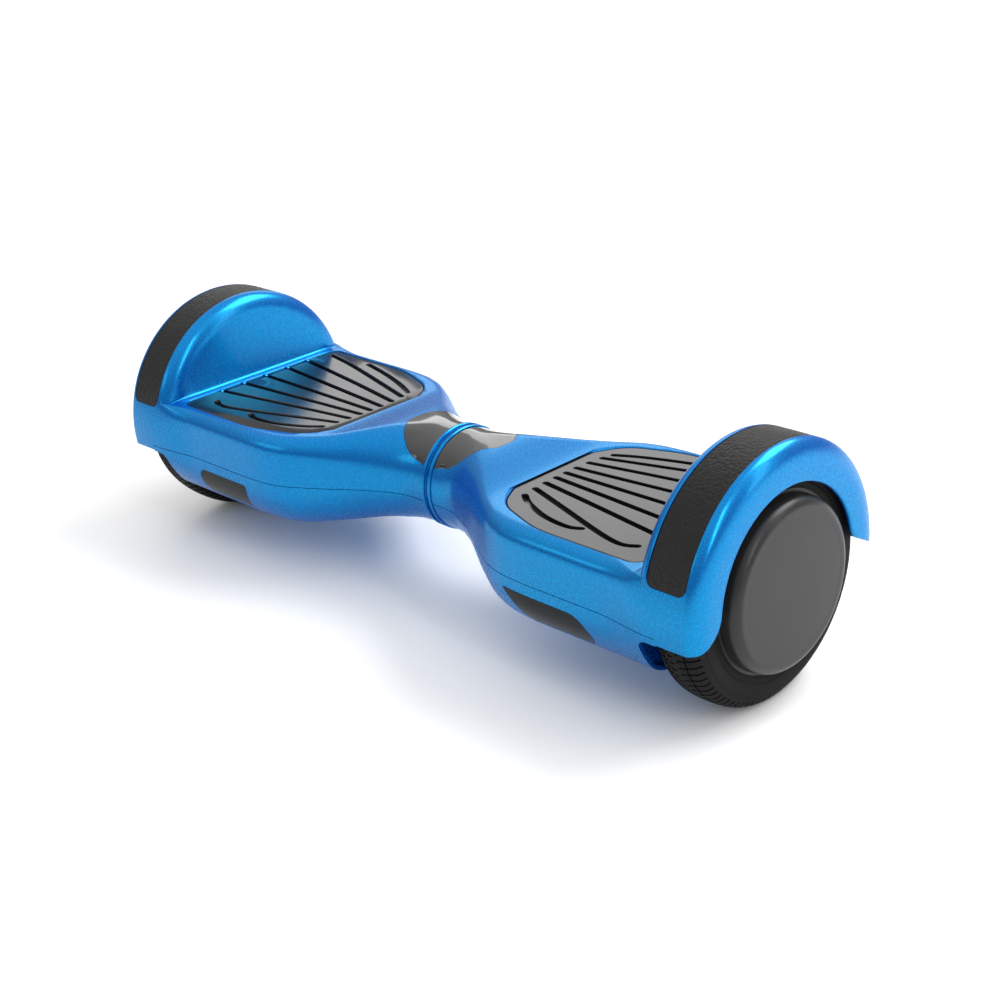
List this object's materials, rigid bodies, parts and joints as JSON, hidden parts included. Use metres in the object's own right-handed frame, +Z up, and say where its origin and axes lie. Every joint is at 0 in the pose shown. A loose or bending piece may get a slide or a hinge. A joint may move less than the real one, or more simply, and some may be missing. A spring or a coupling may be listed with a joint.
{
  "type": "self balancing hoverboard",
  "caption": "Two wheeled self balancing board with twisting halves, ribbed foot pads and wheels under fenders.",
  "frame": {"origin": "on the ground, under the middle of the central tube", "axes": "+X along the length towards the half with the sockets, +Y to the rear, away from the lights, +Z up"},
  "size_m": [0.584, 0.186, 0.177],
  "materials": {
    "cover_paint": "glossy pearl blue paint over moulded plastic",
    "dark_window": "gloss black",
    "smoked_lens": "smoked, glossy",
    "circuit_board": "green board",
    "pad_rubber": "gloss black rubber",
    "strip_rubber": "textured black rubber",
    "black_plastic": "matt black",
    "cast_frame": "as cast",
    "steel": "plain",
    "core_steel": "laminated core",
    "copper": "enamelled copper wire",
    "magnet": "nickel plated",
    "drum_metal": "dark coated",
    "tyre_rubber": "solid rubber",
    "cap_plastic": "satin black",
    "bush_bronze": "sintered bronze",
    "battery_wrap": "shrink wrap",
    "button_metal": "silver"
  },
  "bodies": {
    "right_half": {"right_top_cover": "cover_paint", "right_bottom_cover": "cover_paint", "right_collar": "cover_paint", "right_display_window": "dark_window", "right_light_lens": "smoked_lens", "right_light_board": "circuit_board", "right_gyro_board": "circuit_board", "right_chassis": "cast_frame", "right_axle_clamp": "cast_frame", "right_clamp_screws": "steel", "right_cover_screws": "steel", "right_fender_strip": "strip_rubber", "right_axle": "steel", "right_motor_lead": "black_plastic", "right_stator": "core_steel", "right_windings": "copper", "pivot_bushes": "bush_bronze", "main_board": "circuit_board", "charging_socket": "black_plastic", "flap_pin": "steel", "power_switch": "black_plastic"},
    "left_half": {"left_top_cover": "cover_paint", "left_bottom_cover": "cover_paint", "left_collar": "cover_paint", "left_display_window": "dark_window", "left_light_lens": "smoked_lens", "left_light_board": "circuit_board", "left_gyro_board": "circuit_board", "left_chassis": "cast_frame", "left_axle_clamp": "cast_frame", "left_clamp_screws": "steel", "left_cover_screws": "steel", "left_fender_strip": "strip_rubber", "left_axle": "steel", "left_motor_lead": "black_plastic", "left_stator": "core_steel", "left_windings": "copper", "pivot_tube": "steel", "pivot_circlip": "steel", "centre_cable": "black_plastic", "battery_pack": "battery_wrap"},
    "right_wheel": {"right_magnets": "magnet", "right_motor_drum": "drum_metal", "right_motor_cover": "drum_metal", "right_wheel_bearings": "steel", "right_tyre": "tyre_rubber", "right_hub_cap": "cap_plastic"},
    "left_wheel": {"left_magnets": "magnet", "left_motor_drum": "drum_metal", "left_motor_cover": "drum_metal", "left_wheel_bearings": "steel", "left_tyre": "tyre_rubber", "left_hub_cap": "cap_plastic"},
    "right_pad": {"right_foot_pad": "pad_rubber", "right_pressure_pins": "black_plastic"},
    "left_pad": {"left_foot_pad": "pad_rubber", "left_pressure_pins": "black_plastic"},
    "button": {"power_button": "button_metal"},
    "flap": {"socket_flap": "strip_rubber"}
  },
  "joints": [
    {"name": "centre_twist", "type": "hinge", "parent": "right_half", "child": "left_half", "pos_m": [0, 0, 0.084], "axis": [1, 0, 0], "range_deg": [-12, 12]},
    {"name": "right_wheel_spin", "type": "hinge", "parent": "right_half", "child": "right_wheel", "pos_m": [0.262, 0, 0.084], "axis": [1, 0, 0], "continuous": true},
    {"name": "left_wheel_spin", "type": "hinge", "parent": "left_half", "child": "left_wheel", "pos_m": [-0.262, 0, 0.084], "axis": [1, 0, 0], "continuous": true},
    {"name": "right_pad_press", "type": "slide", "parent": "right_half", "child": "right_pad", "axis": [0, 0, -1], "range_m": [0, 0.0015], "stiffness_N_per_m": 60000},
    {"name": "left_pad_press", "type": "slide", "parent": "left_half", "child": "left_pad", "axis": [0, 0, -1], "range_m": [0, 0.0015], "stiffness_N_per_m": 60000},
    {"name": "button_press", "type": "slide", "parent": "right_half", "child": "button", "axis": [0, -1, 0], "range_m": [0, 0.0015], "stiffness_N_per_m": 1500},
    {"name": "flap_hinge", "type": "hinge", "parent": "right_half", "child": "flap", "pos_m": [0.13, 0.0867, 0.0483], "axis": [-1, 0, 0], "range_deg": [0, 110]}
  ]
}
